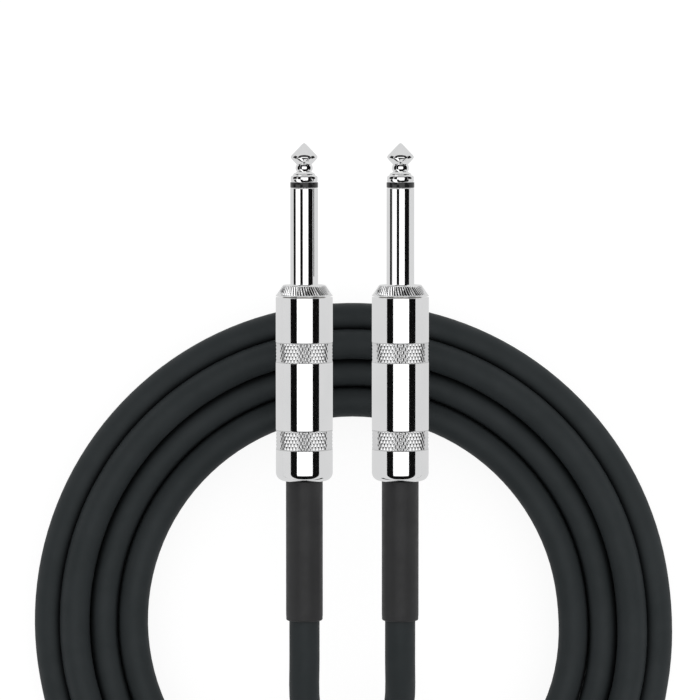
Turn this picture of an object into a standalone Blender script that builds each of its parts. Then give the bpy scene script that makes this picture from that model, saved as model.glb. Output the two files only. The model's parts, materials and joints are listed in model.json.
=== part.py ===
"""Instrument cable: a coil of round cord with a straight 6.35 mm two-pole plug on each end.

Row frame: +Y along the plugs towards their tips, +Z up, the surface under the coil at z = 0.
Each plug has an empty at the middle of its shoulder. In that empty's space +Z runs along the plug
to its tip, so a height there is a distance from the shoulder, and -Y is the plug's upper side.
"""

import math

import bmesh
import bpy
from mathutils import Vector

MM = 0.001
GAP = 0.3 * MM

# cord
CORD_R = 3.5 * MM
COIL_Y = -17.5 * MM
TURN_RADII = [51.0 * MM, 58.0 * MM, 64.4 * MM, 70.8 * MM]
LAYER_Z = [3.5 * MM, 10.5 * MM]
RAISED_RISE = 2.84 * MM
RING_STEPS = 64

# the strap that ties the coil
TIE_WIDTH = 12.0 * MM
TIE_THICK = 1.0 * MM

# how the plugs lie
PLUG_X = 11.05 * MM
PLUG_TILT = math.radians(3.75)
SHOULDER_Y = COIL_Y + 78.0 * MM
CREST_Y = COIL_Y + 63.4 * MM
CREST_Z = LAYER_Z[1] + CORD_R + RAISED_RISE

# plug, outside
SHANK_R = 3.175 * MM
SHANK_LENGTH = 22.3 * MM
COLLAR_FRONT_R = 4.86 * MM
COLLAR_R = 6.54 * MM
COLLAR_LENGTH = 2.5 * MM
THREAD_R = 5.3 * MM
THREAD_END = -9.0 * MM
BODY_END = -9.3 * MM
HANDLE_R = 6.55 * MM
HANDLE_END = -45.1 * MM
HANDLE_WALL_END = -43.1 * MM
KNURL_BANDS = [(-13.1 * MM, -17.8 * MM), (-33.3 * MM, -37.9 * MM)]
KNURL_DEPTH = 0.12 * MM
RELIEF_R = 4.25 * MM
RELIEF_START = -36.0 * MM
RELIEF_END = -77.5 * MM

# plug, inside
ROD_R = 1.2 * MM
ROD_END = -13.9 * MM
ROD_HEAD = 0.6 * MM
SHANK_BORE_R = 2.3 * MM
HANDLE_BORE_R = 5.75 * MM
LINER_R = 5.45 * MM
LINER_BORE_R = 5.1 * MM
LINER_START = -9.7 * MM
LINER_END = -39.8 * MM
BUSHING_START = -40.2 * MM
LUG_R = CORD_R
CLAMP_BAND = (-28.0 * MM, -33.5 * MM)

# free cord: the last stretch on each plug's axis, then points chosen by hand, from the coil's middle
STRAIGHT_STOPS = [-26.5, -41.0, -55.5, -70.0, -77.0, -81.0]
ROUTE_A = [
    (-11.05, -9.8, 18.5),
    (-11.05, -17.5, 16.7),
    (-9.7, -25.7, 14.5),
    (-5.9, -32.7, 12.9),
    (-0.1, -38.2, 11.6),
    (7.1, -41.5, 11.0),
]
ROUTE_B = [
    (11.05, -9.8, 17.95),
    (11.05, -17.5, 14.7),
    (9.7, -25.7, 10.4),
    (5.9, -32.7, 6.1),
    (0.1, -38.2, 3.8),
    (-7.1, -41.5, 3.6),
]
CORD_POINT_STEP = 4.1 * CORD_R


def clear_scene():
    for old in list(bpy.data.objects):
        bpy.data.objects.remove(old, do_unlink=True)


def material(name, color, roughness, metallic=0.0):
    made = bpy.data.materials.new(name)
    made.use_nodes = True
    shader = made.node_tree.nodes["Principled BSDF"]
    shader.inputs["Base Color"].default_value = (*color, 1.0)
    shader.inputs["Roughness"].default_value = roughness
    shader.inputs["Metallic"].default_value = metallic
    return made


def add_object(name, data, finish, parent=None):
    made = bpy.data.objects.new(name, data)
    bpy.context.collection.objects.link(made)
    made.parent = parent
    if finish is not None:
        data.materials.append(finish)
    return made


def mesh_object(name, shape, finish, parent=None):
    """An object from a bmesh, with its faces pointing out and its sharp edges kept."""
    bmesh.ops.recalc_face_normals(shape, faces=shape.faces)
    mesh = bpy.data.meshes.new(name)
    shape.to_mesh(mesh)
    shape.free()
    mesh.shade_smooth()
    mesh.set_sharp_from_angle(angle=math.radians(35))
    return add_object(name, mesh, finish, parent)


def turned(name, outline, finish, parent=None, steps=24):
    """A solid turned about Z from (radius, height) points. An outline that is off the axis is closed."""
    shape = bmesh.new()
    corners = [shape.verts.new((radius, 0.0, height)) for radius, height in outline]
    pairs = list(zip(corners, corners[1:]))
    if outline[0][0] > 0.0:
        pairs.append((corners[-1], corners[0]))
    edges = [shape.edges.new(pair) for pair in pairs]
    bmesh.ops.spin(
        shape,
        geom=corners + edges,
        axis=(0, 0, 1),
        cent=(0, 0, 0),
        angle=2 * math.pi,
        steps=steps,
        use_merge=True,
    )
    bmesh.ops.remove_doubles(shape, verts=shape.verts, dist=0.001 * MM)
    return mesh_object(name, shape, finish, parent)


def block(name, low, high, finish=None, parent=None):
    """A box between two corners."""
    shape = bmesh.new()
    bmesh.ops.create_cube(shape, size=1.0)
    size = Vector(high) - Vector(low)
    bmesh.ops.scale(shape, vec=size, verts=shape.verts)
    bmesh.ops.translate(shape, vec=(Vector(low) + Vector(high)) / 2, verts=shape.verts)
    return mesh_object(name, shape, finish, parent)


def tube_ring(inner, outer, start, end, bevel=0.0):
    """The outline of a plain tube between two heights, with its outer edges cut by bevel."""
    if bevel == 0.0:
        return [(outer, start), (outer, end), (inner, end), (inner, start)]
    return [
        (outer - bevel, start),
        (outer, start - bevel),
        (outer, end + bevel),
        (outer - bevel, end),
        (inner, end),
        (inner, start),
    ]


def cut_or_join(piece, tool, operation):
    """Boolean one object with a hidden one, which stays as a guide."""
    tool.hide_render = True
    tool.display_type = "WIRE"
    step = piece.modifiers.new(operation.lower(), "BOOLEAN")
    step.operation = operation
    step.object = tool
    step.solver = "EXACT"


def smooth_point(a, b, c, d, t):
    """Catmull-Rom between b and c."""
    return 0.5 * (
        2 * b + (c - a) * t + (2 * a - 5 * b + 4 * c - d) * t**2 + (3 * b - a - 3 * c + d) * t**3
    )


def smooth_route(points, step):
    """Points about step apart, read from the smooth curve through the route's own points."""
    ends = [2 * points[0] - points[1], *points, 2 * points[-1] - points[-2]]
    fine = [
        smooth_point(*ends[i : i + 4], k / 24)
        for i in range(len(points) - 1)
        for k in range(24)
    ]
    fine.append(points[-1])
    total = sum((q - p).length for p, q in zip(fine, fine[1:]))
    spacing = total / round(total / step)
    picked = [fine[0]]
    run = 0.0
    for p, q in zip(fine, fine[1:]):
        run += (q - p).length
        if run >= spacing * len(picked) - 0.001 * MM:
            picked.append(q)
    return picked


def cord_tube(name, points, radius, finish, parent=None, resolution=2):
    curve = bpy.data.curves.new(name, "CURVE")
    curve.dimensions = "3D"
    curve.bevel_depth = radius
    curve.bevel_resolution = resolution
    curve.use_fill_caps = True
    line = curve.splines.new("POLY")
    line.points.add(len(points) - 1)
    for place, point in zip(line.points, points):
        place.co = (*point, 1.0)
    return add_object(name, curve, finish, parent)


def solder_blob(name, centre, size, finish, parent):
    shape = bmesh.new()
    bmesh.ops.create_uvsphere(shape, u_segments=12, v_segments=8, radius=1.0)
    bmesh.ops.scale(shape, vec=size, verts=shape.verts)
    bmesh.ops.translate(shape, vec=centre, verts=shape.verts)
    return mesh_object(name, shape, finish, parent)


def coil(finish):
    """The outer shape of the coiled turns: two layers deep, one turn of the top layer standing proud."""
    inner = TURN_RADII[0] - CORD_R
    outer = TURN_RADII[-1] + CORD_R
    top = LAYER_Z[1] + CORD_R
    crest = TURN_RADII[2]
    cut = 0.3 * CORD_R
    outline = [
        (crest, CREST_Z),
        (crest + 0.8 * CORD_R, top + 0.45 * RAISED_RISE),
        (TURN_RADII[3], top),
        (outer - cut, top - cut),
        (outer, LAYER_Z[1]),
        (outer, LAYER_Z[0]),
        (outer - cut, cut),
        (TURN_RADII[3], 0.0),
        (TURN_RADII[0], 0.0),
        (inner + cut, cut),
        (inner, LAYER_Z[0]),
        (inner, LAYER_Z[1]),
        (inner + cut, top - cut),
        (TURN_RADII[0], top),
        (TURN_RADII[1], top),
        (crest - 0.8 * CORD_R, top + 0.45 * RAISED_RISE),
    ]
    ring = turned("cable_coil", outline, finish, steps=RING_STEPS)
    ring.location.y = COIL_Y
    depth = TIE_THICK + GAP
    half = TIE_WIDTH / 2 + GAP
    low = (-half, COIL_Y - outer - MM, -MM)
    high = (half, COIL_Y - inner + MM, depth)
    cut_or_join(ring, block("tie_passage", low, high), "DIFFERENCE")


def coil_tie(finish):
    """A flat strap round the coil's section, on the side away from the plugs."""
    inner = TURN_RADII[0] - CORD_R
    near = COIL_Y - math.cos(math.pi / RING_STEPS) * math.sqrt(inner**2 - (TIE_WIDTH / 2) ** 2) + GAP
    far = COIL_Y - (TURN_RADII[-1] + CORD_R) - GAP
    top = CREST_Z + GAP
    corners = [(near, TIE_THICK), (near, top), (far, top), (far, TIE_THICK)]
    middle = Vector(((near + far) / 2, (top + TIE_THICK) / 2))
    shape = bmesh.new()
    loops = []
    for x in (-TIE_WIDTH / 2, TIE_WIDTH / 2):
        for grow in (0.0, TIE_THICK):
            loop = []
            for y, z in corners:
                side = Vector((math.copysign(1, y - middle.x), math.copysign(1, z - middle.y)))
                radius = 0.1 * MM + grow
                turn = Vector((y, z)) - 0.1 * MM * side
                start = math.atan2(side.y, side.x) - math.pi / 4
                sweep = [start + math.pi / 2 * k / 3 for k in range(4)]
                loop += [turn + radius * Vector((math.cos(w), math.sin(w))) for w in sweep]
            loop.sort(key=lambda p: math.atan2(p.y - middle.y, p.x - middle.x))
            loops.append([shape.verts.new((x, p.x, p.y)) for p in loop])
    inner_left, outer_left, inner_right, outer_right = loops
    for first, second in (
        (inner_left, outer_left),
        (outer_left, outer_right),
        (outer_right, inner_right),
        (inner_right, inner_left),
    ):
        for k in range(len(first)):
            after = (k + 1) % len(first)
            shape.faces.new((first[k], first[after], second[after], second[k]))
    mesh_object("coil_tie", shape, finish)


def plug_frame(name, x):
    """The empty at the plug's shoulder. The handle's underside clears the coil's crest by the gap."""
    rise = math.tan(PLUG_TILT) * (SHOULDER_Y - CREST_Y)
    height = CREST_Z + GAP + HANDLE_R / math.cos(PLUG_TILT) + rise
    frame = bpy.data.objects.new(name, None)
    bpy.context.collection.objects.link(frame)
    frame.location = (x, SHOULDER_Y, height)
    frame.rotation_euler.x = PLUG_TILT - math.pi / 2
    return frame


def axis_point(frame, height):
    """A point on a plug's axis, in the row frame."""
    along = Vector((0.0, math.cos(PLUG_TILT), math.sin(PLUG_TILT)))
    return frame.location + height * along


def tip_contact(name, finish, frame):
    """The turned tip with its rod, whose far end is peened over the lug."""
    waist = 1.92 * MM
    bulb = 3.07 * MM
    back = SHANK_LENGTH + 1.4 * MM
    outline = [
        (0.0, 32.6 * MM),
        (1.1 * MM, 32.15 * MM),
        (2.1 * MM, 31.1 * MM),
        (2.8 * MM, 30.1 * MM),
        (bulb, 29.4 * MM),
        (2.47 * MM, 28.4 * MM),
        (waist, 27.9 * MM),
        (waist, 25.9 * MM),
        (bulb, 25.3 * MM),
        (bulb, back),
        (ROD_R, back),
        (ROD_R, ROD_END + ROD_HEAD),
        (ROD_R + 0.8 * MM, ROD_END + ROD_HEAD),
        (ROD_R + 0.6 * MM, ROD_END),
        (0.0, ROD_END),
    ]
    turned(name, outline, finish, frame)


def sleeve_contact(name, finish, frame):
    """Shank, collar and thread in one turned piece, bored for the tip rod and its tube."""
    cut = 0.25 * MM
    outline = [
        (SHANK_R, SHANK_LENGTH),
        (SHANK_R, 0.0),
        (COLLAR_FRONT_R, 0.0),
        (COLLAR_R, -COLLAR_LENGTH),
        (THREAD_R, -COLLAR_LENGTH),
        (THREAD_R, THREAD_END),
        (THREAD_R - cut, BODY_END),
        (SHANK_BORE_R, BODY_END),
        (SHANK_BORE_R, SHANK_LENGTH),
    ]
    turned(name, outline, finish, frame, steps=32)


def handle(name, finish, frame):
    """The barrel: thread bore in front, wide bore behind it, and a rear wall with the cord's hole."""
    front = -COLLAR_LENGTH - GAP
    rear_round = 1.9 * MM
    thread_bore = THREAD_R + GAP
    outline = [(HANDLE_R, front)]
    for start, end in KNURL_BANDS:
        outline += [
            (HANDLE_R, start),
            (HANDLE_R - KNURL_DEPTH, start - KNURL_DEPTH),
            (HANDLE_R - KNURL_DEPTH, end + KNURL_DEPTH),
            (HANDLE_R, end),
        ]
    for k in range(4):
        angle = math.pi / 2 * k / 3
        radius = HANDLE_R - rear_round * (1 - math.cos(angle))
        outline.append((radius, HANDLE_END + rear_round * (1 - math.sin(angle))))
    outline += [
        (RELIEF_R + GAP, HANDLE_END),
        (RELIEF_R + GAP, HANDLE_WALL_END),
        (HANDLE_BORE_R, HANDLE_WALL_END),
        (HANDLE_BORE_R, BODY_END),
        (thread_bore, BODY_END),
        (thread_bore, front),
    ]
    turned(name, outline, finish, frame, steps=32)


def tip_lug(name, finish, frame):
    """A ring under the rod's peened end, with a flat tab behind it for the core."""
    ring_start = -12.2 * MM
    ring_end = -13.0 * MM
    lug = turned(name, tube_ring(ROD_R + GAP, LUG_R, ring_start, ring_end), finish, frame)
    low = (-1.4 * MM, -3.1 * MM, -19.6 * MM)
    high = (1.4 * MM, -2.6 * MM, ring_start - 0.2 * MM)
    cut_or_join(lug, block(name + "_tab", low, high, parent=frame), "UNION")


def cable_clamp(name, finish, frame):
    """The sleeve terminal: a base ring, a tongue under the cord and a split band round the jacket."""
    base = tube_ring(SHANK_BORE_R, 4.7 * MM, -9.6 * MM, -10.4 * MM)
    clamp = turned(name, base, finish, frame)
    inner = CORD_R + GAP
    band_outline = tube_ring(inner, inner + 0.7 * MM, *CLAMP_BAND)
    low = (-2.0 * MM, inner, CLAMP_BAND[1] + 2.0 * MM)
    high = (2.0 * MM, inner + 0.55 * MM, -10.0 * MM)
    cut_or_join(clamp, block(name + "_tongue", low, high, parent=frame), "UNION")
    cut_or_join(clamp, turned(name + "_band", band_outline, None, frame), "UNION")
    low = (-0.8 * MM, -6.0 * MM, CLAMP_BAND[1] - MM)
    high = (0.8 * MM, -2.0 * MM, CLAMP_BAND[0] + MM)
    cut_or_join(clamp, block(name + "_split", low, high, parent=frame), "DIFFERENCE")


def wires(letter, finishes, frame):
    """The stripped end of the cord: core up to the tip lug, shield down to the sleeve terminal."""

    def local(x, y, z):
        return Vector((x, y, z)) * MM

    core = [local(0, -0.9, -26.2), local(0, -1.1, -24.0), local(0, -1.5, -21.4)]
    strand = [local(0, -1.6, -21.0), local(0, -1.7, -19.4), local(0, -1.75, -18.3)]
    shield = [local(0, 2.0, -26.2), local(0, 2.3, -24.0), local(0, 2.5, -21.6)]
    cord_tube(f"core_insulation_{letter}", core, 1.3 * MM, finishes["core"], frame)
    cord_tube(f"core_conductor_{letter}", strand, 0.45 * MM, finishes["copper"], frame)
    cord_tube(f"shield_tail_{letter}", shield, 0.8 * MM, finishes["copper"], frame)
    tip_size = (0.95 * MM, 0.55 * MM, 1.2 * MM)
    solder_blob(f"solder_tip_{letter}", local(0, -1.7, -16.6), tip_size, finishes["solder"], frame)
    shield_size = (1.1 * MM, 0.6 * MM, 1.3 * MM)
    solder_blob(f"solder_shield_{letter}", local(0, 2.8, -19.8), shield_size, finishes["solder"], frame)


def plug(letter, x, finishes):
    frame = plug_frame(f"plug_{letter}_frame", x)
    tip_contact(f"tip_contact_{letter}", finishes["chrome"], frame)
    sleeve_contact(f"sleeve_contact_{letter}", finishes["chrome"], frame)
    tip_lug(f"tip_lug_{letter}", finishes["brass"], frame)
    cable_clamp(f"cable_clamp_{letter}", finishes["brass"], frame)
    handle(f"handle_{letter}", finishes["chrome"], frame)
    rod_gap = ROD_R + GAP
    relief_gap = RELIEF_R + GAP
    rings = [
        ("tip_ring", rod_gap, SHANK_R, SHANK_LENGTH + 1.1 * MM, SHANK_LENGTH + GAP, 0.0, "insulator"),
        ("rod_tube", rod_gap, SHANK_BORE_R - GAP, SHANK_LENGTH - 0.2 * MM, -10.4 * MM, 0.0, "insulator"),
        ("rear_washer", rod_gap, LUG_R, -10.7 * MM, -11.9 * MM, 0.0, "insulator"),
        ("strain_relief", CORD_R + 0.35 * MM, RELIEF_R, RELIEF_START, RELIEF_END, 0.2 * MM, "relief"),
        ("liner", LINER_BORE_R, LINER_R, LINER_START, LINER_END, 0.0, "liner"),
        ("bushing", relief_gap, LINER_R, BUSHING_START, HANDLE_WALL_END + GAP, 0.2 * MM, "insulator"),
    ]
    for name, inner, outer, start, end, bevel, finish in rings:
        steps = 24 if outer < 4 * MM else 32
        outline = tube_ring(inner, outer, start, end, bevel)
        turned(f"{name}_{letter}", outline, finishes[finish], frame, steps)
    wires(letter, finishes, frame)
    return frame


def lead(letter, frame, hand_points, finish):
    """The cord from inside the plug to the coil's inner side."""
    middle = Vector((0.0, COIL_Y, 0.0))
    route = [axis_point(frame, stop * MM) for stop in STRAIGHT_STOPS]
    route += [middle + MM * Vector(point) for point in hand_points]
    cord_tube(f"cable_lead_{letter}", smooth_route(route, CORD_POINT_STEP), CORD_R, finish)


def main():
    clear_scene()
    finishes = {
        "jacket": material("jacket", (0.018, 0.019, 0.021), 0.45),
        "relief": material("relief", (0.022, 0.022, 0.023), 0.55),
        "chrome": material("chrome", (0.72, 0.73, 0.74), 0.12, 1.0),
        "brass": material("tinned brass", (0.70, 0.62, 0.42), 0.3, 1.0),
        "insulator": material("black insulator", (0.012, 0.012, 0.013), 0.35),
        "core": material("core insulation", (0.78, 0.76, 0.70), 0.4),
        "copper": material("copper", (0.72, 0.36, 0.2), 0.35, 1.0),
        "solder": material("solder", (0.62, 0.62, 0.63), 0.3, 1.0),
        "liner": material("liner", (0.8, 0.8, 0.78), 0.3),
        "strap": material("strap", (0.02, 0.02, 0.022), 0.9),
    }
    coil(finishes["jacket"])
    coil_tie(finishes["strap"])
    frame_a = plug("a", -PLUG_X, finishes)
    frame_b = plug("b", PLUG_X, finishes)
    lead("a", frame_a, ROUTE_A, finishes["jacket"])
    lead("b", frame_b, ROUTE_B, finishes["jacket"])


main()
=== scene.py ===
"""Looks for the instrument cable: turned and knurled plugs, their inner terminals, the coiled cord and
its strap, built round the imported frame. Outlines and named sizes are in millimetres and MM turns them
into metres. A plug's own axes are Z to its tip and -Y up, with the shoulder at the origin."""

import json
import math

import bmesh
import bpy
import numpy as np
from mathutils import Matrix, Vector


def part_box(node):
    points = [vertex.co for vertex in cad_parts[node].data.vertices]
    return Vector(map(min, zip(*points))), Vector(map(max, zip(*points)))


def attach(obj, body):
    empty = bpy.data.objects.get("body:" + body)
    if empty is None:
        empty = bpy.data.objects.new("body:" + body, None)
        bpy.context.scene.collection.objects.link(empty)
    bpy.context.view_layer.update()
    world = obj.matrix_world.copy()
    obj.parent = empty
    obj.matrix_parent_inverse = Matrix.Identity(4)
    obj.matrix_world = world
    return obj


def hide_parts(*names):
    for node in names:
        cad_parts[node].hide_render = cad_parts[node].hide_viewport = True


MM = 0.001
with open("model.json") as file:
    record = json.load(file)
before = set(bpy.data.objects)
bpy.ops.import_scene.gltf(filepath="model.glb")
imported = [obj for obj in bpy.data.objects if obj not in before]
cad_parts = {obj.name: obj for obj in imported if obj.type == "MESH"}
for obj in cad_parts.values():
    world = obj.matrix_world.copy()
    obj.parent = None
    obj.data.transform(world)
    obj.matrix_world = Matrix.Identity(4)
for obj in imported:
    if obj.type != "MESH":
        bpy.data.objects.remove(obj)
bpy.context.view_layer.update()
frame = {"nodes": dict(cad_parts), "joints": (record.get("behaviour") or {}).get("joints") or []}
JOINTS = {joint["name"]: joint for joint in frame["joints"]}
MOVING = ("handle", "liner", "bushing")

# cord: the round jacket and how the coil is wound. Angles are in degrees about the coil's middle,
# counted from +X towards the plugs; a change is a window in which a turn moves to its next ring.
CORD_R = 3.5 * MM
CORD_STEP = 4.0 * MM
ANGLE_STEP = 5.0
TOP_RINGS = [50.8, 51.2, 58.1, 64.6, 70.6]
TOP_Z = 10.5
BOTTOM_Z = 3.5
RAISED = 2.9
FIRST_ANGLE = -43.0
FIRST_CHANGE = 60.0
CHANGE = (218.0, 332.0)
DROP = (200.0, 300.0)
OUTER_RING = 70.8
INWARD = (150.0, 260.0)
LAST_ANGLE = 223.0
TURNS_A_LAYER = 3
OVAL = 0.12
OFF_MIDDLE = 0.2
SWELL = 0.9
SWELL_FROM = 8.0
SWELL_TO = -110.0

# the coil's far side, where the strands find their own room under the strap
SETTLE_FROM = 16.0 * MM
SETTLE_BLEND = 14.0 * MM
SETTLE_ROUNDS = 120
ENDS_HELD = 26
TIE_SPAN = 9.0 * MM
TIE_FROM = 44.0 * MM
TIE_FLOOR = 1.3 * MM
TIE_CEILING = 13.6 * MM
STRAP_THICK = 1.0 * MM
STRAP_BEND = 5.0 * MM
STRAP_STEP = 0.8 * MM
STRAP_LIFT = 0.9 * MM

# free cord: distances behind the shoulder, then points from the coil's middle, in millimetres
STRAIGHT_STOPS = [-26.5, -41.0, -55.5, -70.0, -77.0, -81.0]
ROUTE_A = [
    (-11.05, -9.8, 18.5),
    (-11.05, -17.5, 16.7),
    (-9.7, -25.7, 14.5),
    (-5.9, -32.7, 12.9),
    (-0.1, -38.2, 11.6),
    (7.1, -41.5, 11.0),
]
ROUTE_B = [
    (11.05, -9.8, 17.95),
    (11.05, -17.5, 14.7),
    (9.7, -25.7, 10.4),
    (5.9, -32.7, 6.1),
    (0.1, -38.2, 3.8),
    (-7.1, -41.5, 3.6),
]
RUN_IN_A = [(15.6, -43.2, 10.7), (24.2, -42.7, 10.55), (31.9, -39.9, 10.5)]
RUN_OUT_B = [(-15.2, -43.3, 3.5), (-24.3, -42.6, 3.5), (-32.1, -39.6, 3.5)]

# plug, measured along its axis from the shoulder
SHANK_R = 3.175
SHANK_END = 22.3
COLLAR_FRONT_R = 4.86
COLLAR_R = 6.54
COLLAR_END = -2.5
COLLAR_TEETH = 56
THREAD_R = 5.3
THREAD_PITCH = 1.0
BODY_END = -9.3
HANDLE_R = 6.55
HANDLE_FRONT = -2.8
HANDLE_END = -45.1
HANDLE_WALL = -43.1
HANDLE_BORE = 5.75
REAR_ROUND = 1.9
KNURL_BANDS = [(-13.1, -17.8), (-33.3, -37.9)]
KNURL_TEETH = 50
KNURL_DEPTH = 0.22
KNURL_LEAD = 1.6
RELIEF_R = 4.25
RELIEF_BORE = 3.52
RELIEF = (-36.0, -77.5)
ROD_R = 1.2
TUBE_BORE = 1.3
SLEEVE_BORE = 2.3
LINER_R = 5.45
CLAMP_REACH = 163.0
CORE_R = 1.3 * MM
CORE_STRAND_R = 0.17 * MM
SHIELD_STRAND_R = 0.16 * MM

# studio: the camera, the brightness of what dull and polished surfaces are shown, and the cards'
# places in millimetres; the four edges of the panel and of the dark frame are degrees from overhead
PANEL_GLOW = 1.3
RING_GLOW = 0.71
DARK_GLOW = 0.004
PANEL_EDGES = (-29.2, 34.6, -28, 27)
DARK_EDGES = (-57, 63.7, -79, 77)
SOFT_LIGHT = 0.82
SOFT_LIGHT_TILT = 0.12
BACKDROP_EXTRA = 0.3
FLOOR_GLOW = 0.88
FLOOR_GLOW_REFLECTED = 0.52
FLOOR_REACH = 6.0
CAMERA_LENS = 224.0
CAMERA_OFFSET = (-0.53 * MM, -14.94 * MM, 1.001)
CARD_GLOW = 0.71
CARD_Z = 17.0
CARD_TOP = 31.0
BESIDE_SHANK = (-0.8, 23.4)
BESIDE_TIP = (24.0, 33.5)

# narrow cards beside each plug, shown as stripes in its shank and tip: brightness, the two edges as
# (across, up) from the plug's axis, and the stretch along it
STRIPS = [
    (DARK_GLOW, (-3.4, 7.0), (-1.0, 7.0), BESIDE_SHANK),
    (PANEL_GLOW, (-8.0, 5.0), (-3.4, 7.0), BESIDE_SHANK),
    (DARK_GLOW, (-6.0, 1.5), (-6.0, 3.5), BESIDE_SHANK),
    (DARK_GLOW, (6.5, 3.5), (6.5, 5.2), BESIDE_SHANK),
    (DARK_GLOW, (-6.0, 0.5), (-6.0, 4.5), BESIDE_TIP),
    (DARK_GLOW, (6.0, 0.5), (6.0, 4.5), BESIDE_TIP),
]


# ---------------------------------------------------------------- materials

def new_material(name, color, roughness, metallic=0.0, specular=0.5):
    made = bpy.data.materials.new(name)
    made.use_nodes = True
    shader = made.node_tree.nodes["Principled BSDF"]
    shader.inputs["Base Color"].default_value = (*color, 1.0)
    shader.inputs["Roughness"].default_value = roughness
    shader.inputs["Metallic"].default_value = metallic
    shader.inputs["Specular IOR Level"].default_value = specular
    return made, made.node_tree, shader


def noise(tree, scale, detail=3.0, stretch=(1, 1, 1)):
    """Noise in the object's own coordinates; scale is features per metre."""
    place = tree.nodes.new("ShaderNodeTexCoord")
    mapping = tree.nodes.new("ShaderNodeMapping")
    mapping.inputs["Scale"].default_value = stretch
    made = tree.nodes.new("ShaderNodeTexNoise")
    made.inputs["Scale"].default_value = scale
    made.inputs["Detail"].default_value = detail
    tree.links.new(place.outputs["Object"], mapping.inputs["Vector"])
    tree.links.new(mapping.outputs["Vector"], made.inputs["Vector"])
    return made


def spread(tree, source, low, high):
    """A noise value carried to the range low to high."""
    made = tree.nodes.new("ShaderNodeMapRange")
    made.inputs["From Min"].default_value = 0.3
    made.inputs["From Max"].default_value = 0.7
    made.inputs["To Min"].default_value = low
    made.inputs["To Max"].default_value = high
    tree.links.new(source.outputs["Fac"], made.inputs["Value"])
    return made


def vary_roughness(tree, shader, scale, low, high, stretch=(1, 1, 1)):
    value = spread(tree, noise(tree, scale, stretch=stretch), low, high)
    tree.links.new(value.outputs["Result"], shader.inputs["Roughness"])


def vary_color(tree, shader, scale, first, second, stretch=(1, 1, 1)):
    ramp = tree.nodes.new("ShaderNodeValToRGB")
    ramp.color_ramp.elements[0].position = 0.35
    ramp.color_ramp.elements[0].color = (*first, 1.0)
    ramp.color_ramp.elements[1].position = 0.65
    ramp.color_ramp.elements[1].color = (*second, 1.0)
    tree.links.new(noise(tree, scale, stretch=stretch).outputs["Fac"], ramp.inputs["Fac"])
    tree.links.new(ramp.outputs["Color"], shader.inputs["Base Color"])


def add_bump(tree, shader, source, strength, distance, output="Fac"):
    bump = tree.nodes.new("ShaderNodeBump")
    bump.inputs["Strength"].default_value = strength
    bump.inputs["Distance"].default_value = distance
    tree.links.new(source.outputs[output], bump.inputs["Height"])
    tree.links.new(bump.outputs["Normal"], shader.inputs["Normal"])


def chrome_material():
    made, tree, shader = new_material("chrome plate", (0.93, 0.935, 0.94), 0.05, 1.0)
    vary_roughness(tree, shader, 260.0, 0.03, 0.075)
    vary_color(tree, shader, 90.0, (0.91, 0.915, 0.92), (0.95, 0.95, 0.955))
    return made


def knurled_material():
    """The same plate where it is knurled, with painted shade in the valleys."""
    made, tree, shader = new_material("knurled chrome", (0.8, 0.8, 0.8), 0.1, 1.0)
    vary_color(tree, shader, 90.0, (0.78, 0.785, 0.79), (0.86, 0.86, 0.865))
    # painted shade in the knurl's valleys, where the plate's own surfaces are close
    paint_crevice_shade(tree, shader, 0.35 * MM)
    vary_roughness(tree, shader, 900.0, 0.06, 0.14)
    return made


def paint_crevice_shade(tree, shader, reach):
    """Painted shade: less colour where another surface of the same piece is close, darkening crevices
    where shade falls.
    """
    # painted shade from occlusion: the base colour is dimmed where the piece's own surfaces are near
    open_air = tree.nodes.new("ShaderNodeAmbientOcclusion")
    open_air.only_local = True
    open_air.samples = 8
    open_air.inputs["Distance"].default_value = reach
    tint = tree.nodes.new("ShaderNodeMapRange")
    tint.inputs["From Min"].default_value = 0.35
    tint.inputs["From Max"].default_value = 0.8
    tint.inputs["To Min"].default_value = 0.35
    dim = tree.nodes.new("ShaderNodeVectorMath")
    dim.operation = "SCALE"
    color = shader.inputs["Base Color"].links[0].from_socket
    tree.links.new(open_air.outputs["AO"], tint.inputs["Value"])
    tree.links.new(color, dim.inputs[0])
    tree.links.new(tint.outputs["Result"], dim.inputs["Scale"])
    tree.links.new(dim.outputs["Vector"], shader.inputs["Base Color"])


def jacket_material():
    made, tree, shader = new_material("cord jacket", (0.025, 0.028, 0.0305), 0.5, specular=0.12)
    vary_color(tree, shader, 120.0, (0.0268, 0.0318, 0.0336), (0.0312, 0.0362, 0.0384))
    # painted shade in the grooves between the cord's turns, from occlusion
    paint_crevice_shade(tree, shader, 2.2 * MM)
    vary_roughness(tree, shader, 400.0, 0.45, 0.58)
    add_bump(tree, shader, noise(tree, 2600.0, 4.0), 0.12, 0.05 * MM)
    return made


def relief_material():
    made, tree, shader = new_material("strain relief rubber", (0.031, 0.031, 0.032), 0.5, specular=0.25)
    light, lighter = (0.0285, 0.0285, 0.0295), (0.034, 0.034, 0.0352)
    vary_color(tree, shader, 150.0, light, lighter, stretch=(1, 0.2, 1))
    vary_roughness(tree, shader, 500.0, 0.42, 0.55)
    add_bump(tree, shader, noise(tree, 1500.0, 3.0, stretch=(1, 0.3, 1)), 0.15, 0.05 * MM)
    return made


def plain_material(name, color, other, roughness, metallic=0.0, bump=0.1, scale=900.0):
    """A finish with a little drift in colour and roughness and a fine surface."""
    made, tree, shader = new_material(name, color, roughness, metallic)
    vary_color(tree, shader, 0.4 * scale, color, other)
    vary_roughness(tree, shader, 0.5 * scale, 0.8 * roughness, 1.2 * roughness)
    add_bump(tree, shader, noise(tree, 2.5 * scale), bump, 0.04 * MM)
    return made


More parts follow.
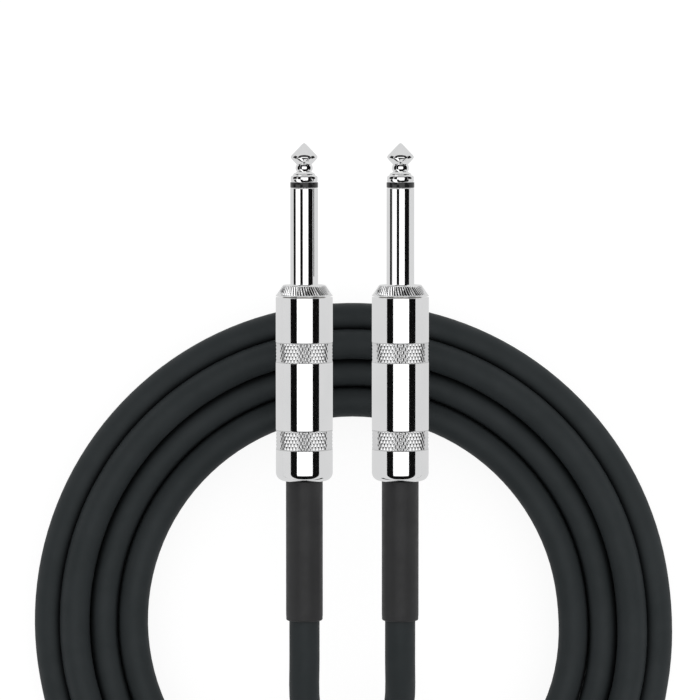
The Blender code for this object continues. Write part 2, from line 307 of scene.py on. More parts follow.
def strap_material():
    """Loop-faced webbing: a close field of small loops, with a soft sheen."""
    made, tree, shader = new_material("loop strap", (0.018, 0.018, 0.02), 0.95, specular=0.2)
    shader.inputs["Sheen Weight"].default_value = 0.25
    shader.inputs["Sheen Roughness"].default_value = 0.5
    vary_color(tree, shader, 1500.0, (0.008, 0.008, 0.009), (0.042, 0.042, 0.046))
    loops = tree.nodes.new("ShaderNodeTexVoronoi")
    loops.inputs["Scale"].default_value = 1500.0
    place = tree.nodes.new("ShaderNodeTexCoord")
    tree.links.new(place.outputs["Object"], loops.inputs["Vector"])
    add_bump(tree, shader, loops, 1.0, 0.3 * MM, "Distance")
    return made


def liner_material():
    made, tree, shader = new_material("milky liner", (0.86, 0.86, 0.83), 0.32)
    shader.inputs["Transmission Weight"].default_value = 0.35
    vary_roughness(tree, shader, 300.0, 0.26, 0.4)
    return made


THREAD_COLORS = (0.13, 0.125, 0.115), (0.22, 0.21, 0.19)
MOULDING_COLORS = (0.010, 0.010, 0.011), (0.016, 0.016, 0.017)
TERMINAL_COLORS = (0.74, 0.66, 0.45), (0.80, 0.75, 0.60)
CORE_COLORS = (0.80, 0.78, 0.71), (0.86, 0.84, 0.78)
COPPER_COLORS = (0.78, 0.38, 0.22), (0.86, 0.48, 0.30)
SOLDER_COLORS = (0.66, 0.66, 0.67), (0.78, 0.78, 0.78)
MATERIALS = {
    "chrome": chrome_material(),
    "knurl": knurled_material(),
    "thread": plain_material("bare thread", *THREAD_COLORS, 0.38, 1.0),
    "jacket": jacket_material(),
    "strain_relief": relief_material(),
    "insulator": plain_material("black moulding", *MOULDING_COLORS, 0.14, bump=0.04),
    "terminal": plain_material("tinned brass", *TERMINAL_COLORS, 0.26, 1.0),
    "core": plain_material("natural core", *CORE_COLORS, 0.4),
    "copper": plain_material("bare copper", *COPPER_COLORS, 0.3, 1.0),
    "solder": plain_material("solder", *SOLDER_COLORS, 0.2, 1.0, bump=0.25),
    "liner": liner_material(),
    "strap": strap_material(),
}


# ---------------------------------------------------------------- mesh tools

def finish_piece(name, data, slot, body, nodes, place=None):
    """Link a piece, give it its finish, ride it on its body and hide the CAD nodes it stands for.
    A plug's piece comes with its place, and doesn't show in what the other pieces reflect."""
    piece = bpy.data.objects.new(name, data)
    bpy.context.collection.objects.link(piece)
    if place is not None:
        piece.matrix_world = place
    if not data.materials:
        data.materials.append(MATERIALS[slot])
    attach(piece, body)
    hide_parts(*nodes)
    piece.visible_glossy = place is None
    return piece


def mesh_from(name, corners, faces, sharp=35.0):
    mesh = bpy.data.meshes.new(name)
    mesh.from_pydata([tuple(c) for c in corners], [], faces)
    mesh.validate()
    shape = bmesh.new()
    shape.from_mesh(mesh)
    bmesh.ops.recalc_face_normals(shape, faces=shape.faces)
    shape.to_mesh(mesh)
    shape.free()
    mesh.shade_smooth()
    mesh.set_sharp_from_angle(angle=math.radians(sharp))
    return mesh


def arc(middle, radius, start, end, count):
    """Points on an arc in the outline's plane, in degrees from outward (0) to the tip (90)."""
    sweep = [math.radians(start + (end - start) * k / count) for k in range(count + 1)]
    return [(middle[0] + radius * math.cos(w), middle[1] + radius * math.sin(w)) for w in sweep]


def rows(radius, start, end, step):
    """Evenly spaced outline points at one radius, for a stretch that carries relief."""
    count = max(1, round(abs(end - start) / step))
    return [(radius, start + (end - start) * k / count) for k in range(count + 1)]


def held(outline, inset=0.07, least=0.5):
    """The outline with a point held near each end of every long run, which keeps its shading flat."""
    made = []
    for (r0, z0), (r1, z1) in zip(outline, outline[1:] + outline[:1]):
        made.append((r0, z0))
        length = math.hypot(r1 - r0, z1 - z0)
        if length > least:
            part = inset / length
            made += [(r0 + (r1 - r0) * k, z0 + (z1 - z0) * k) for k in (part, 1 - part)]
    return made


def lathe(name, outline, steps, relief=None, closed=True, sharp=35.0):
    """A mesh turned about Z from an outline of (radius, height). relief(theta, radius, height) is
    added to the radius."""
    theta = np.linspace(0.0, 2 * math.pi, steps, endpoint=False)
    corners, rings = [], []
    for radius, height in outline:
        if radius < 1e-6:
            rings.append([len(corners)])
            corners.append((0.0, 0.0, height * MM))
            continue
        reach = np.full(steps, radius)
        if relief is not None:
            reach = reach + relief(theta, radius, height)
        rings.append(list(range(len(corners), len(corners) + steps)))
        corners += list(
            zip(reach * np.cos(theta) * MM, reach * np.sin(theta) * MM, np.full(steps, height * MM))
        )
    pairs = list(zip(rings, rings[1:]))
    if closed:
        pairs.append((rings[-1], rings[0]))
    faces = []
    for first, second in pairs:
        for k in range(steps):
            after = (k + 1) % steps
            if len(first) == 1:
                faces.append((first[0], second[k], second[after]))
            elif len(second) == 1:
                faces.append((first[k], second[0], first[after]))
            else:
                faces.append((first[k], second[k], second[after], first[after]))
    return mesh_from(name, corners, faces, sharp)


def tube_outline(inner, outer, start, end, round_off=0.1):
    """A tube's outline with rounded outer edges, from its front at start to its back at end."""
    return [
        *arc((outer - round_off, start - round_off), round_off, 90, 0, 3),
        *arc((outer - round_off, end + round_off), round_off, 0, -90, 3),
        (inner, end),
        (inner, start),
    ]


def smooth_points(points, per=8):
    """Points on the smooth curve (Catmull-Rom) through the given ones."""
    points = [np.array(p, float) for p in points]
    ends = [2 * points[0] - points[1], *points, 2 * points[-1] - points[-2]]
    made = []
    for i in range(len(points) - 1):
        a, b, c, d = ends[i : i + 4]
        for k in range(per):
            t = k / per
            square = (2 * a - 5 * b + 4 * c - d) * t**2
            cube = (3 * b - a - 3 * c + d) * t**3
            made.append(0.5 * (2 * b + (c - a) * t + square + cube))
    made.append(points[-1])
    return made


def even_points(points, step):
    """The same line with points an even distance apart."""
    line = np.array(points)
    run = np.concatenate([[0.0], np.cumsum(np.linalg.norm(np.diff(line, axis=0), axis=1))])
    stops = np.linspace(0.0, run[-1], max(2, round(run[-1] / step) + 1))
    return np.stack([np.interp(stops, run, line[:, k]) for k in range(3)], axis=1)


def wire_curve(name, lines, radius, resolution=4):
    """Round wires as one curve object's data, one spline for each line of points."""
    curve = bpy.data.curves.new(name, "CURVE")
    curve.dimensions = "3D"
    curve.bevel_depth = radius
    curve.bevel_resolution = resolution
    curve.use_fill_caps = True
    for line in lines:
        spline = curve.splines.new("POLY")
        spline.points.add(len(line) - 1)
        spline.use_smooth = True
        for place, point in zip(spline.points, line):
            place.co = (*point, 1.0)
    return curve


# ---------------------------------------------------------------- plug pieces

def knurl(theta, height):
    """Two crossing sets of V grooves, which leave diamond points."""
    turns = KNURL_TEETH * theta / (2 * math.pi)
    first = np.abs((turns + height / KNURL_LEAD) % 1.0 - 0.5)
    second = np.abs((turns - height / KNURL_LEAD) % 1.0 - 0.5)
    return -KNURL_DEPTH * np.clip(1.0 - 2.2 * np.minimum(first, second), 0.0, 1.0)


def thread(theta, height, depth):
    """A right-hand V thread, as a depth from its crest."""
    wave = np.abs((height / THREAD_PITCH - theta / (2 * math.pi)) % 1.0 - 0.5)
    return -depth * np.clip(1.15 - 2.3 * wave, 0.0, 1.0)


def handle_relief(theta, radius, height):
    if radius > HANDLE_R - 0.2:
        for start, end in KNURL_BANDS:
            if end + 0.12 < height < start - 0.12:
                return knurl(theta, height)
    if radius < HANDLE_BORE and BODY_END + 0.3 < height < HANDLE_FRONT - 0.4:
        return -thread(theta, height, 0.3)
    return 0.0


def handle_mesh():
    edge = 0.07
    outline = arc((HANDLE_R - edge, HANDLE_FRONT - edge), edge, 90, 0, 4)
    for start, end in KNURL_BANDS:
        crest = HANDLE_R - 0.04
        outline += [(HANDLE_R, start + 0.06), (HANDLE_R - 0.02, start), (crest - 0.1, start - 0.06)]
        outline += rows(crest, start - 0.1, end + 0.1, 0.1)
        outline += [(crest - 0.1, end + 0.06), (HANDLE_R - 0.02, end), (HANDLE_R, end - 0.06)]
    outline += arc((HANDLE_R - REAR_ROUND, HANDLE_END + REAR_ROUND), REAR_ROUND, 0, -90, 14)
    hole = RELIEF_R + 0.3
    outline += [*arc((hole + 0.15, HANDLE_END + 0.15), 0.15, -90, -180, 3), (hole, HANDLE_WALL)]
    outline += [(HANDLE_BORE, HANDLE_WALL), (HANDLE_BORE, BODY_END)]
    outline += rows(THREAD_R + 0.3, BODY_END + 0.05, HANDLE_FRONT - 0.15, 0.125)
    outline.append((THREAD_R + 0.45, HANDLE_FRONT))
    mesh = lathe("handle", held(outline), 10 * KNURL_TEETH, handle_relief)
    mesh.materials.append(MATERIALS["chrome"])
    mesh.materials.append(MATERIALS["knurl"])
    for face in mesh.polygons:
        x, y, z = face.center
        in_band = any(end * MM < z < start * MM for start, end in KNURL_BANDS)
        face.material_index = int(in_band and math.hypot(x, y) > (HANDLE_R - 0.5) * MM)
    return mesh


def collar_relief(theta, radius, height):
    if COLLAR_END + 0.3 < height < -0.2:
        turns = COLLAR_TEETH * theta / (2 * math.pi) + 0.45 * height
        return -0.15 * np.clip(1.0 - 4.4 * np.abs(turns % 1.0 - 0.5), 0.0, 1.0)
    if BODY_END + 0.4 < height < COLLAR_END - 0.5 and radius > 5.0:
        return thread(theta, height, 0.52)
    return 0.0


def sleeve_mesh():
    slope = (COLLAR_R - COLLAR_FRONT_R) / COLLAR_END
    outline = arc((SHANK_R - 0.2, SHANK_END - 0.2), 0.2, 90, 0, 4)
    outline += [(SHANK_R, 0.12), (SHANK_R - 0.05, 0.0)]
    outline += [(COLLAR_FRONT_R - 0.08, 0.0), (COLLAR_FRONT_R + 0.02, -0.1)]
    cone = rows(0.0, -0.15, COLLAR_END + 0.26, 0.1)
    outline += [(COLLAR_FRONT_R + slope * z, z) for _, z in cone]
    outline += [(COLLAR_R - 0.08, COLLAR_END + 0.22), (COLLAR_R - 0.02, COLLAR_END + 0.15)]
    outline += [(COLLAR_R, COLLAR_END + 0.1), (COLLAR_R, COLLAR_END + 0.05)]
    outline.append((COLLAR_R - 0.05, COLLAR_END))
    outline += [(THREAD_R - 0.45, COLLAR_END), (THREAD_R - 0.45, COLLAR_END - 0.4)]
    outline += rows(THREAD_R, COLLAR_END - 0.5, BODY_END + 0.35, 0.1)
    outline += [(THREAD_R - 0.35, BODY_END), (SLEEVE_BORE, BODY_END), (SLEEVE_BORE, SHANK_END)]
    mesh = lathe("sleeve_contact", held(outline), 9 * COLLAR_TEETH, collar_relief)
    mesh.materials.append(MATERIALS["chrome"])
    mesh.materials.append(MATERIALS["thread"])
    for face in mesh.polygons:
        face.material_index = int(face.center.z < (COLLAR_END - 0.01) * MM)
    return mesh


def tip_mesh():
    """Cone, waist with its bead, and the stepped collar that seats on the insulating ring."""
    cone = [(0.0, 32.62), (0.42, 32.35), (1.2, 31.55), (2.1, 30.6), (2.85, 29.82)]
    ridge = [(2.98, 29.62), (3.07, 29.38), (2.98, 29.12), (2.5, 28.52), (1.98, 27.98)]
    bead = [(1.78, 27.8), (1.74, 27.62), (1.9, 27.3), (1.97, 26.85), (1.88, 26.42), (1.7, 26.12)]
    step = [(1.72, 25.98), (1.95, 25.82), (2.3, 25.66), (2.5, 25.46), (2.46, 25.26)]
    seat = [(2.62, 25.16), (2.9, 25.04), (3.06, 24.8), (3.07, 24.5)]
    head = []
    for curve, per in ((cone, 5), (ridge, 5), (bead, 5), (step, 4), (seat, 4)):
        head += [tuple(p) for p in smooth_points(curve, per)]
    rod = [(3.07, 23.85), (2.95, 23.68), (ROD_R, 23.68), (ROD_R, -13.2)]
    peened = [*arc((1.55, -13.55), 0.35, 90, -60, 5), (0.9, -14.0), (0.0, -14.05)]
    return lathe("tip_contact", head + rod + peened, 96, closed=False, sharp=40.0)


def strip_mesh(name, stations, columns, thickness):
    """A bent sheet-metal strip from stations of (points across), thickened towards its own normal."""
    corners, faces = [], []
    for across in stations:
        corners += across
    for i in range(len(stations) - 1):
        for k in range(columns - 1):
            first = i * columns + k
            faces.append((first, first + 1, first + columns + 1, first + columns))
    mesh = bpy.data.meshes.new(name)
    mesh.from_pydata([tuple(c) for c in corners], [], faces)
    shape = bmesh.new()
    shape.from_mesh(mesh)
    bmesh.ops.recalc_face_normals(shape, faces=shape.faces)
    bmesh.ops.solidify(shape, geom=shape.faces[:], thickness=thickness)
    bmesh.ops.recalc_face_normals(shape, faces=shape.faces)
    shape.to_mesh(mesh)
    shape.free()
    mesh.shade_smooth()
    mesh.set_sharp_from_angle(angle=math.radians(40))
    return mesh


def joined(name, meshes, sharp=40.0):
    """Several meshes as one."""
    shape = bmesh.new()
    for mesh in meshes:
        shape.from_mesh(mesh)
    made = bpy.data.meshes.new(name)
    shape.to_mesh(made)
    shape.free()
    made.shade_smooth()
    made.set_sharp_from_angle(angle=math.radians(sharp))
    return made


def clamp_mesh():
    """The sleeve terminal: a ring under the body, a curved tongue and two ears round the jacket."""
    ring = lathe("clamp_ring", tube_outline(2.35, 4.7, -9.5, -10.2, 0.08), 64)
    # (height, half the angle it covers in degrees, radius)
    reach = [(-9.9, 26, 4.1), (-12.0, 26, 4.1), (-25.6, 26, 4.1), (-27.0, 34, 3.95), (-28.0, 150, 3.65)]
    reach += [(-28.3, 162, 3.6), (-32.9, 162, 3.6), (-33.3, 155, 3.62)]
    line = smooth_points(reach, 4)
    stations = []
    columns = 49
    for z, width, radius in line:
        width = min(width, CLAMP_REACH)
        sweep = np.radians(np.linspace(90 - width, 90 + width, columns))
        stations.append([(radius * math.cos(w) * MM, radius * math.sin(w) * MM, z * MM) for w in sweep])
    tongue = strip_mesh("clamp_tongue", stations, columns, 0.45 * MM)
    return joined("cable_clamp", [ring, tongue])


def lug_mesh():
    """The tip terminal: a ring under the peened rod and a tab bent back along the upper side."""
    ring = lathe("lug_ring", tube_outline(TUBE_BORE, 3.3, -12.3, -12.9, 0.08), 64)
    bend = [(-2.2, -12.6), (-2.75, -12.75), (-3.0, -13.4), (-3.02, -16.0), (-3.02, -19.4)]
    line = smooth_points(bend, 6)
    columns = 11
    stations = []
    for y, z in line:
        past = max(0.0, (-18.1 - z) / 1.35)
        half = 1.4 * math.sqrt(max(0.04, 1.0 - past**2))
        stations.append([(x * MM, y * MM, z * MM) for x in np.linspace(-half, half, columns)])
    return joined("tip_lug", [ring, strip_mesh("lug_tab", stations, columns, 0.4 * MM)])


def blob_mesh(name, middle, size):
    """A drop of solder, drawn out along the wire and a little uneven."""
    shape = bmesh.new()
    bmesh.ops.create_icosphere(shape, subdivisions=4, radius=1.0)
    for corner in shape.verts:
        p = corner.co.copy()
        swell = 1.0 + 0.10 * math.sin(3.1 * p.x + 1.7 * p.z) + 0.08 * math.cos(2.3 * p.y - 2.9 * p.z)
        draw = 1.0 - 0.35 * max(0.0, -p.z) ** 2
        corner.co = Vector((p.x * swell * draw, p.y * swell * draw, p.z * swell))
        corner.co = Vector((corner.co.x * size[0], corner.co.y * size[1], corner.co.z * size[2])) * MM
        corner.co += Vector(middle) * MM
    mesh = bpy.data.meshes.new(name)
    shape.to_mesh(mesh)
    shape.free()
    mesh.shade_smooth()
    return mesh


def twisted(line, strands, radius, turns, ends=1.0):
    """Strands laid round a line of points; ends is how far they fan out at its far end."""
    line = np.array(line)
    count = len(line)
    made = []
    for k in range(strands):
        strand = []
        for i, point in enumerate(line):
            t = i / (count - 1)
            angle = 2 * math.pi * (k / strands + turns * t)
            fan = radius * (1.0 + (ends - 1.0) * t**3)
            strand.append(point + np.array([fan * math.cos(angle), fan * math.sin(angle), 0.0]))
        made.append(strand)
    return made


def scaled(points):
    return [tuple(MM * v for v in p) for p in points]


def wires(letter, place):
    """The stripped end of the cord: insulated core and its strands, gathered shield, solder."""

    def inner(name, data, slot, node):
        finish_piece(f"{name}_{letter}", data, slot, "root", [f"{node}_{letter}"], place)

    core = scaled(smooth_points([(0, -0.9, -26.6), (0, -1.1, -24.0), (0, -1.5, -20.9)], 8))
    inner("core", wire_curve("core_insulation", [core], CORE_R, 8), "core", "core_insulation")
    middle = scaled(smooth_points([(0, -1.5, -21.4), (0, -1.75, -19.6), (0, -2.2, -17.6)], 10))
    strands = twisted(middle, 6, 0.34 * MM, 0.9, 1.2) + [middle]
    inner("strands", wire_curve("core_strands", strands, CORE_STRAND_R, 2), "copper", "core_conductor")
    middle = scaled(smooth_points([(0, 1.6, -26.6), (0.2, 2.3, -24.0), (0, 3.0, -20.0)], 14))
    strands = twisted(middle, 9, 0.6 * MM, 1.6, 1.3) + twisted(middle, 5, 0.3 * MM, 1.6, 1.2)
    inner("shield", wire_curve("shield_strands", strands, SHIELD_STRAND_R, 2), "copper", "shield_tail")
    drop = blob_mesh("solder_tip", (0, -2.35, -17.2), (1.0, 0.62, 1.5))
    inner("solder_tip_joint", drop, "solder", "solder_tip")
    drop = blob_mesh("solder_shield", (0, 3.3, -20.0), (1.25, 0.7, 1.6))
    inner("solder_shield_joint", drop, "solder", "solder_shield")


def relief_mesh():
    """Shrunk sleeve: even along its length, drawn in softly at its far end."""
    start, end = RELIEF
    outline = arc((RELIEF_R - 0.25, start - 0.25), 0.25, 90, 0, 4)
    outline += [(RELIEF_R, end + 1.3), (RELIEF_R - 0.04, end + 0.75)]
    outline += arc((RELIEF_R - 0.44, end + 0.4), 0.4, 10, -90, 6)
    outline += [(RELIEF_BORE, end), (RELIEF_BORE, start)]
    return lathe("strain_relief", held(outline), 96)


def plug_place(letter):
    """The plug's own axes: Z to the tip, -Y up, with the shoulder at the origin."""
    joint = JOINTS[f"handle_{letter}_unscrew"]
    tip_way = -Vector(joint["axis"]).normalized()
    side = Vector((1.0, 0.0, 0.0))
    down = tip_way.cross(side)
    turn = Matrix((side, down, tip_way)).transposed().to_4x4()
    return Matrix.Translation(Vector(joint["pos_m"])) @ turn


def build_plugs():
    ring = lathe("tip_ring", tube_outline(TUBE_BORE, 3.2, 23.62, 22.36, 0.12), 96)
    washer = lathe("rear_washer", tube_outline(TUBE_BORE, 3.5, -10.5, -12.1, 0.15), 96)
    liner = lathe("liner", tube_outline(5.1, LINER_R, -9.7, -39.8, 0.08), 128)
    bushing = lathe("bushing", tube_outline(4.5, LINER_R, -40.2, -42.8, 0.2), 128)
    shared = {
        "handle": (handle_mesh(), "chrome"),
        "sleeve_contact": (sleeve_mesh(), "chrome"),
        "tip_contact": (tip_mesh(), "chrome"),
        "tip_ring": (ring, "insulator"),
        "rear_washer": (washer, "insulator"),
        "tip_lug": (lug_mesh(), "terminal"),
        "cable_clamp": (clamp_mesh(), "terminal"),
        "strain_relief": (relief_mesh(), "strain_relief"),
        "liner": (liner, "liner"),
        "bushing": (bushing, "insulator"),
    }
    for letter in "ab":
        place = plug_place(letter)
        for name, (mesh, slot) in shared.items():
            node = f"{name}_{letter}"
            body = node if name in MOVING else "root"
            finish_piece(f"{name}_fine_{letter}", mesh, slot, body, [node], place)
        tube = frame["nodes"][f"rod_tube_{letter}"]
        tube.visible_glossy = False
        for slot in tube.material_slots:
            slot.material = MATERIALS["insulator"]
        wires(letter, place)


# ---------------------------------------------------------------- cord and strap

def ease(t):
    t = min(1.0, max(0.0, t))
    return t * t * (3 - 2 * t)


def eased(angle, window, turn):
    """How far an angle is through a window of angles in a given turn, 0 to 1."""
    return ease((angle - 360.0 * turn - window[0]) / (window[1] - window[0]))


def wobble(angle):
    """The little that a hand-wound coil is out of round: oval, off its middle, wide at one place."""
    turn = math.radians(angle)
    past = (angle + 180.0) % 360.0 - 180.0
    swell = ease((SWELL_FROM - past) / 30.0) * ease((past - SWELL_TO) / 50.0)
    return OVAL * math.cos(2 * turn + 0.7) + OFF_MIDDLE * math.cos(turn + 0.35) + SWELL * swell


def coil_middle():
    low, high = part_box("cable_coil")
    return np.array([(low[0] + high[0]) / 2, (low[1] + high[1]) / 2, 0.0])


def upper_turns():
    """The top layer: each turn changes to the next ring on the far side, and one stands proud."""
    made = []
    angle = FIRST_ANGLE
    while angle < DROP[0] + 360 * TURNS_A_LAYER:
        changes = [ease((angle - FIRST_ANGLE) / FIRST_CHANGE)]
        changes += [eased(angle, CHANGE, n) for n in range(TURNS_A_LAYER)]
        radius = TOP_RINGS[0]
        for change, before, after in zip(changes, TOP_RINGS, TOP_RINGS[1:]):
            radius += change * (after - before)
        height = TOP_Z + RAISED * (changes[2] - changes[3])
        made.append((radius + wobble(angle), angle, height))
        angle += ANGLE_STEP
    return made


def lower_turns():
    """Down on the far side, then inward turns on the bottom layer, each a step inside the last."""
    made = []
    angle = DROP[0]
    last = LAST_ANGLE + 360 * TURNS_A_LAYER
    pitch = 2 * CORD_R / MM
    while angle < last:
        down = eased(angle, DROP, 0)
        height = TOP_Z + (BOTTOM_Z - TOP_Z) * down
        steps = sum(eased(angle, INWARD, n + 1) for n in range(TURNS_A_LAYER))
        made.append((OUTER_RING - pitch * steps + wobble(angle), angle, height))
        angle += ANGLE_STEP
    return made


def settle(line, middle):
    """Let the cord find its room on the far side: no strand inside another, none under the floor.
    Only the movement is smoothed, not the cord, so that the turns keep their size."""
    free = np.clip((middle[1] - SETTLE_FROM - line[:, 1]) / SETTLE_BLEND, 0.0, 1.0)
    index = np.arange(len(line))
    free[(index < ENDS_HELD) | (index >= len(line) - ENDS_HELD)] = 0.0
    spacing = np.linalg.norm(line[1] - line[0])
    apart = np.abs(index[:, None] - index[None, :]) * spacing > 6 * CORD_R
    under_tie = np.clip(1.6 - np.abs(line[:, 0] - middle[0]) / TIE_SPAN, 0.0, 1.0)
    under_tie *= line[:, 1] < middle[1] - TIE_FROM
    low = CORD_R + TIE_FLOOR * under_tie * under_tie * (3 - 2 * under_tie)
    rest = line.copy()
    moved = np.zeros_like(line)
    for _ in range(SETTLE_ROUNDS):
        way = np.gradient(line, axis=0)
        way /= np.linalg.norm(way, axis=1)[:, None]
        gap = line[:, None, :] - line[None, :, :]
        along = np.einsum("ijk,jk->ij", gap, way)
        across = gap - along[..., None] * way[None, :, :]
        distance = np.linalg.norm(across, axis=2) + 1e-9
        touch = apart & (np.abs(along) < 0.6 * spacing) & (distance < 2 * CORD_R)
        push = np.where(touch, 2 * CORD_R - distance, 0.0)[..., None] * across / distance[..., None]
        moved += free[:, None] * 0.25 * push.sum(axis=1)
        spread_out = np.zeros_like(line)
        spread_out[1:-1] = (moved[:-2] + moved[2:]) / 2 - moved[1:-1]
        moved += free[:, None] * 0.5 * spread_out
        line = rest + moved
        line[:, 2] = np.where(free > 0, np.maximum(line[:, 2], low), line[:, 2])
        capped = (free > 0) & (under_tie > 0.5)
        line[capped, 2] = np.minimum(line[capped, 2], TIE_CEILING)
        moved = line - rest
    return line


def cord_line():
    """The whole cord's centreline, from the jacket's end in plug a to its end in plug b."""
    middle = coil_middle()

    def near(point):
        return middle + MM * np.array(point)

    def on_axis(letter):
        place = plug_place(letter)
        return [np.array(place @ Vector((0, 0, stop * MM))) for stop in STRAIGHT_STOPS]

    turns = [
        middle + MM * np.array([r * math.cos(math.radians(w)), r * math.sin(math.radians(w)), z])
        for r, w, z in upper_turns() + lower_turns()
    ]
    start = on_axis("a") + [near(p) for p in ROUTE_A + RUN_IN_A]
    end = [near(p) for p in reversed(ROUTE_B + RUN_OUT_B)] + on_axis("b")[::-1]
    line = even_points(smooth_points(start + turns + end, 6), CORD_STEP)
    line = settle(line, middle)
    return even_points(smooth_points(line, 3), 0.75 * CORD_STEP)


def strap_path(low, high):
    """The loop's middle line in the plane across it, starting at the side nearest the plugs."""
    near, far = high[1] - STRAP_THICK / 2, low[1] + STRAP_THICK / 2
    bottom, top = low[2] + STRAP_THICK / 2, high[2] - STRAP_THICK / 2
    middle = np.array([0.0, (near + far) / 2, (top + bottom) / 2])
    loop = []
    for side_y, side_z, start in ((1, 1, 0), (-1, 1, 90), (-1, -1, 180), (1, -1, 270)):
        turn_y = middle[1] + side_y * ((near - far) / 2 - STRAP_BEND)
        turn_z = middle[2] + side_z * ((top - bottom) / 2 - STRAP_BEND)
        for k in range(9):
            w = math.radians(start + 90 * k / 8)
            y, z = turn_y + STRAP_BEND * math.cos(w), turn_z + STRAP_BEND * math.sin(w)
            loop.append(np.array([0.0, y, z]))
    return list(even_points(smooth_points(loop + [loop[0]], 3), STRAP_STEP)), middle


def strap_piece():
    """A loop-faced strap round the coil's section, lapped over itself on top."""
    low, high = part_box("coil_tie")
    half = (high[0] - low[0]) / 2
    loop, middle = strap_path(low, high)
    lap = loop[: len(loop) // 3]
    columns = 13
    rounded = 8
    shapes = []
    for line, lift in ((loop, 0.0), (lap, STRAP_LIFT)):
        stations = []
        for i, point in enumerate(line):
            out = (point - middle) * (0.0, 1.0, 1.0)
            out /= np.linalg.norm(out)
            edge = 1.0
            if lift and i > len(line) - rounded:
                edge = math.sqrt(max(0.08, 1.0 - ((i - len(line) + rounded) / rounded) ** 2))
            place = point + out * lift * ease(i / 6.0)
            across = np.linspace(-half, half, columns) * edge
            stations.append([tuple(place + np.array([x, 0.0, 0.0])) for x in across])
        shapes.append(strip_mesh("strap_part", stations, columns, 0.9 * STRAP_THICK))
    mesh = joined("strap", shapes, 50.0)
    return finish_piece("strap_fine", mesh, "strap", "root", ["coil_tie"])


def build_cord():
    line = cord_line()
    curve = wire_curve("cord", [line], CORD_R, 10)
    cord = finish_piece("cord", curve, "jacket", "root", ["cable_coil", "cable_lead_a", "cable_lead_b"])
    strap = strap_piece()


# ---------------------------------------------------------------- studio

def studio_world():
    """Soft even light for dull surfaces, and a bright panel in a dark frame for polished ones."""
    world = bpy.data.worlds.new("studio")
    bpy.context.scene.world = world
    world.use_nodes = True
    tree = world.node_tree
    tree.nodes.clear()
    new, link = tree.nodes.new, tree.links.new

    def math_node(operation, first, second=None):
        made = new("ShaderNodeMath")
        made.operation = operation
        for slot, value in zip(made.inputs, (first, second)):
            if value is None:
                continue
            if isinstance(value, (int, float)):
                slot.default_value = value
            else:
                link(value, slot)
        return made.outputs[0]

    direction = new("ShaderNodeTexCoord")
    split = new("ShaderNodeSeparateXYZ")
    link(direction.outputs["Generated"], split.inputs[0])
    up = math_node("MAXIMUM", split.outputs["Z"], 0.001)
    across = math_node("DIVIDE", split.outputs["X"], up)
    along = math_node("DIVIDE", split.outputs["Y"], up)

    def inside(value, low, high):
        above = math_node("GREATER_THAN", value, low)
        below = math_node("LESS_THAN", value, high)
        return math_node("MULTIPLY", above, below)

    def rectangle(x_low, x_high, y_low, y_high):
        edges = [math.tan(math.radians(w)) for w in (x_low, x_high, y_low, y_high)]
        return math_node("MULTIPLY", inside(across, *edges[:2]), inside(along, *edges[2:]))

    panel = rectangle(*PANEL_EDGES)
    dark = rectangle(*DARK_EDGES)
    ring = math_node("SUBTRACT", 1.0, dark)
    lit = math_node("MULTIPLY", panel, PANEL_GLOW)
    shine = math_node("ADD", lit, math_node("MULTIPLY", ring, RING_GLOW))
    shine = math_node("ADD", shine, DARK_GLOW)
    path = new("ShaderNodeLightPath")
    glossy = math_node("MULTIPLY", shine, path.outputs["Is Glossy Ray"])
    dull = math_node("SUBTRACT", 1.0, path.outputs["Is Glossy Ray"])
    tilt = math_node("MULTIPLY", split.outputs["X"], SOFT_LIGHT_TILT)
    even = math_node("ADD", tilt, SOFT_LIGHT)
    seen = math_node("MULTIPLY", path.outputs["Is Camera Ray"], BACKDROP_EXTRA)
    even = math_node("ADD", even, seen)
    strength = math_node("ADD", glossy, math_node("MULTIPLY", dull, even))
    background = new("ShaderNodeBackground")
    background.inputs["Color"].default_value = (1.0, 1.0, 1.0, 1.0)
    link(strength, background.inputs["Strength"])
    output = new("ShaderNodeOutputWorld")
    link(background.outputs[0], output.inputs[0])


def studio_floor():
    """A pale floor that glows a little, so that it stays white under soft light."""
    mesh = bpy.data.meshes.new("floor")
    edges = [(-FLOOR_REACH, -FLOOR_REACH), (FLOOR_REACH, -FLOOR_REACH)]
    edges += [(FLOOR_REACH, FLOOR_REACH), (-FLOOR_REACH, FLOOR_REACH)]
    mesh.from_pydata([(x, y, 0.0) for x, y in edges], [], [(0, 1, 2, 3)])
    floor = bpy.data.objects.new("floor", mesh)
    bpy.context.collection.objects.link(floor)
    floor.location.z = -0.2 * MM
    made, tree, shader = new_material("pale floor", (0.22, 0.22, 0.22), 0.9, specular=0.1)
    shader.inputs["Emission Color"].default_value = (1.0, 1.0, 1.0, 1.0)
    path = tree.nodes.new("ShaderNodeLightPath")
    glow = tree.nodes.new("ShaderNodeMapRange")
    glow.inputs["To Min"].default_value = FLOOR_GLOW
    glow.inputs["To Max"].default_value = FLOOR_GLOW_REFLECTED
    tree.links.new(path.outputs["Is Glossy Ray"], glow.inputs["Value"])
    tree.links.new(glow.outputs["Result"], shader.inputs["Emission Strength"])
    mesh.materials.append(made)


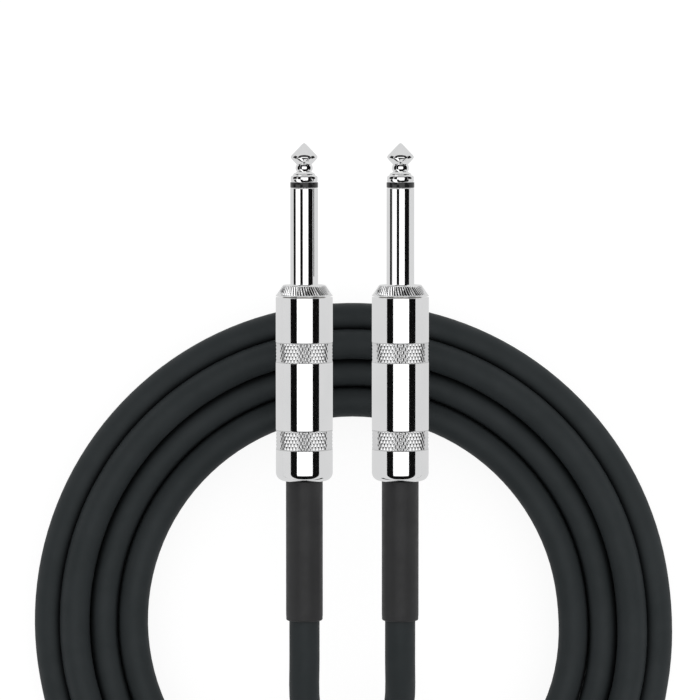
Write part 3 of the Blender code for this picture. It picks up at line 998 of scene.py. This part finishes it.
def studio_card(name, corners, one_sided, strength=CARD_GLOW):
    """A card seen only in what the plugs reflect; a one-sided card isn't seen from behind."""
    mesh = bpy.data.meshes.new(name)
    mesh.from_pydata([Vector(c) * MM for c in corners], [], [(0, 1, 2, 3)])
    card = bpy.data.objects.new(name, mesh)
    bpy.context.collection.objects.link(card)
    for seen in ("camera", "diffuse", "transmission", "volume_scatter", "shadow"):
        setattr(card, f"visible_{seen}", False)
    made = bpy.data.materials.new(name)
    made.use_nodes = True
    tree = made.node_tree
    tree.nodes.clear()
    glow = tree.nodes.new("ShaderNodeEmission")
    glow.inputs["Strength"].default_value = strength
    output = tree.nodes.new("ShaderNodeOutputMaterial")
    shown = glow.outputs[0]
    if one_sided:
        clear = tree.nodes.new("ShaderNodeBsdfTransparent")
        side = tree.nodes.new("ShaderNodeNewGeometry")
        mix = tree.nodes.new("ShaderNodeMixShader")
        tree.links.new(side.outputs["Backfacing"], mix.inputs["Fac"])
        tree.links.new(glow.outputs[0], mix.inputs[1])
        tree.links.new(clear.outputs[0], mix.inputs[2])
        shown = mix.outputs[0]
    tree.links.new(shown, output.inputs["Surface"])
    mesh.materials.append(made)


def studio_cards():
    """A card flat under the plugs, one on edge between them, and the strips beside each."""
    under = [(-60, -45, CARD_Z), (60, -45, CARD_Z), (60, 110, CARD_Z), (-60, 110, CARD_Z)]
    studio_card("card_under", under, True)
    between = [(0, 10, CARD_Z), (0, 62, CARD_Z), (0, 62, CARD_TOP), (0, 10, CARD_TOP)]
    studio_card("card_between", between, False)
    for letter in "ab":
        place = plug_place(letter)
        for number, (strength, first, second, reach) in enumerate(STRIPS):
            edges = [(*first, reach[0]), (*second, reach[0]), (*second, reach[1]), (*first, reach[1])]
            corners = [place @ (Vector((x, -up, z)) * MM) / MM for x, up, z in edges]
            studio_card(f"card_strip_{letter}{number}", corners, False, strength)


def camera():
    """Straight down between the plugs, from about a metre above them."""
    shoulder = (plug_place("a").translation + plug_place("b").translation) / 2
    data = bpy.data.cameras.new("camera")
    data.lens = CAMERA_LENS
    data.sensor_width = 36.0
    eye = bpy.data.objects.new("camera", data)
    bpy.context.collection.objects.link(eye)
    eye.location = shoulder + Vector(CAMERA_OFFSET)
    bpy.context.scene.camera = eye
    bpy.context.scene.view_settings.view_transform = "Standard"


camera()
build_cord()
build_plugs()
studio_world()
studio_floor()
studio_cards()
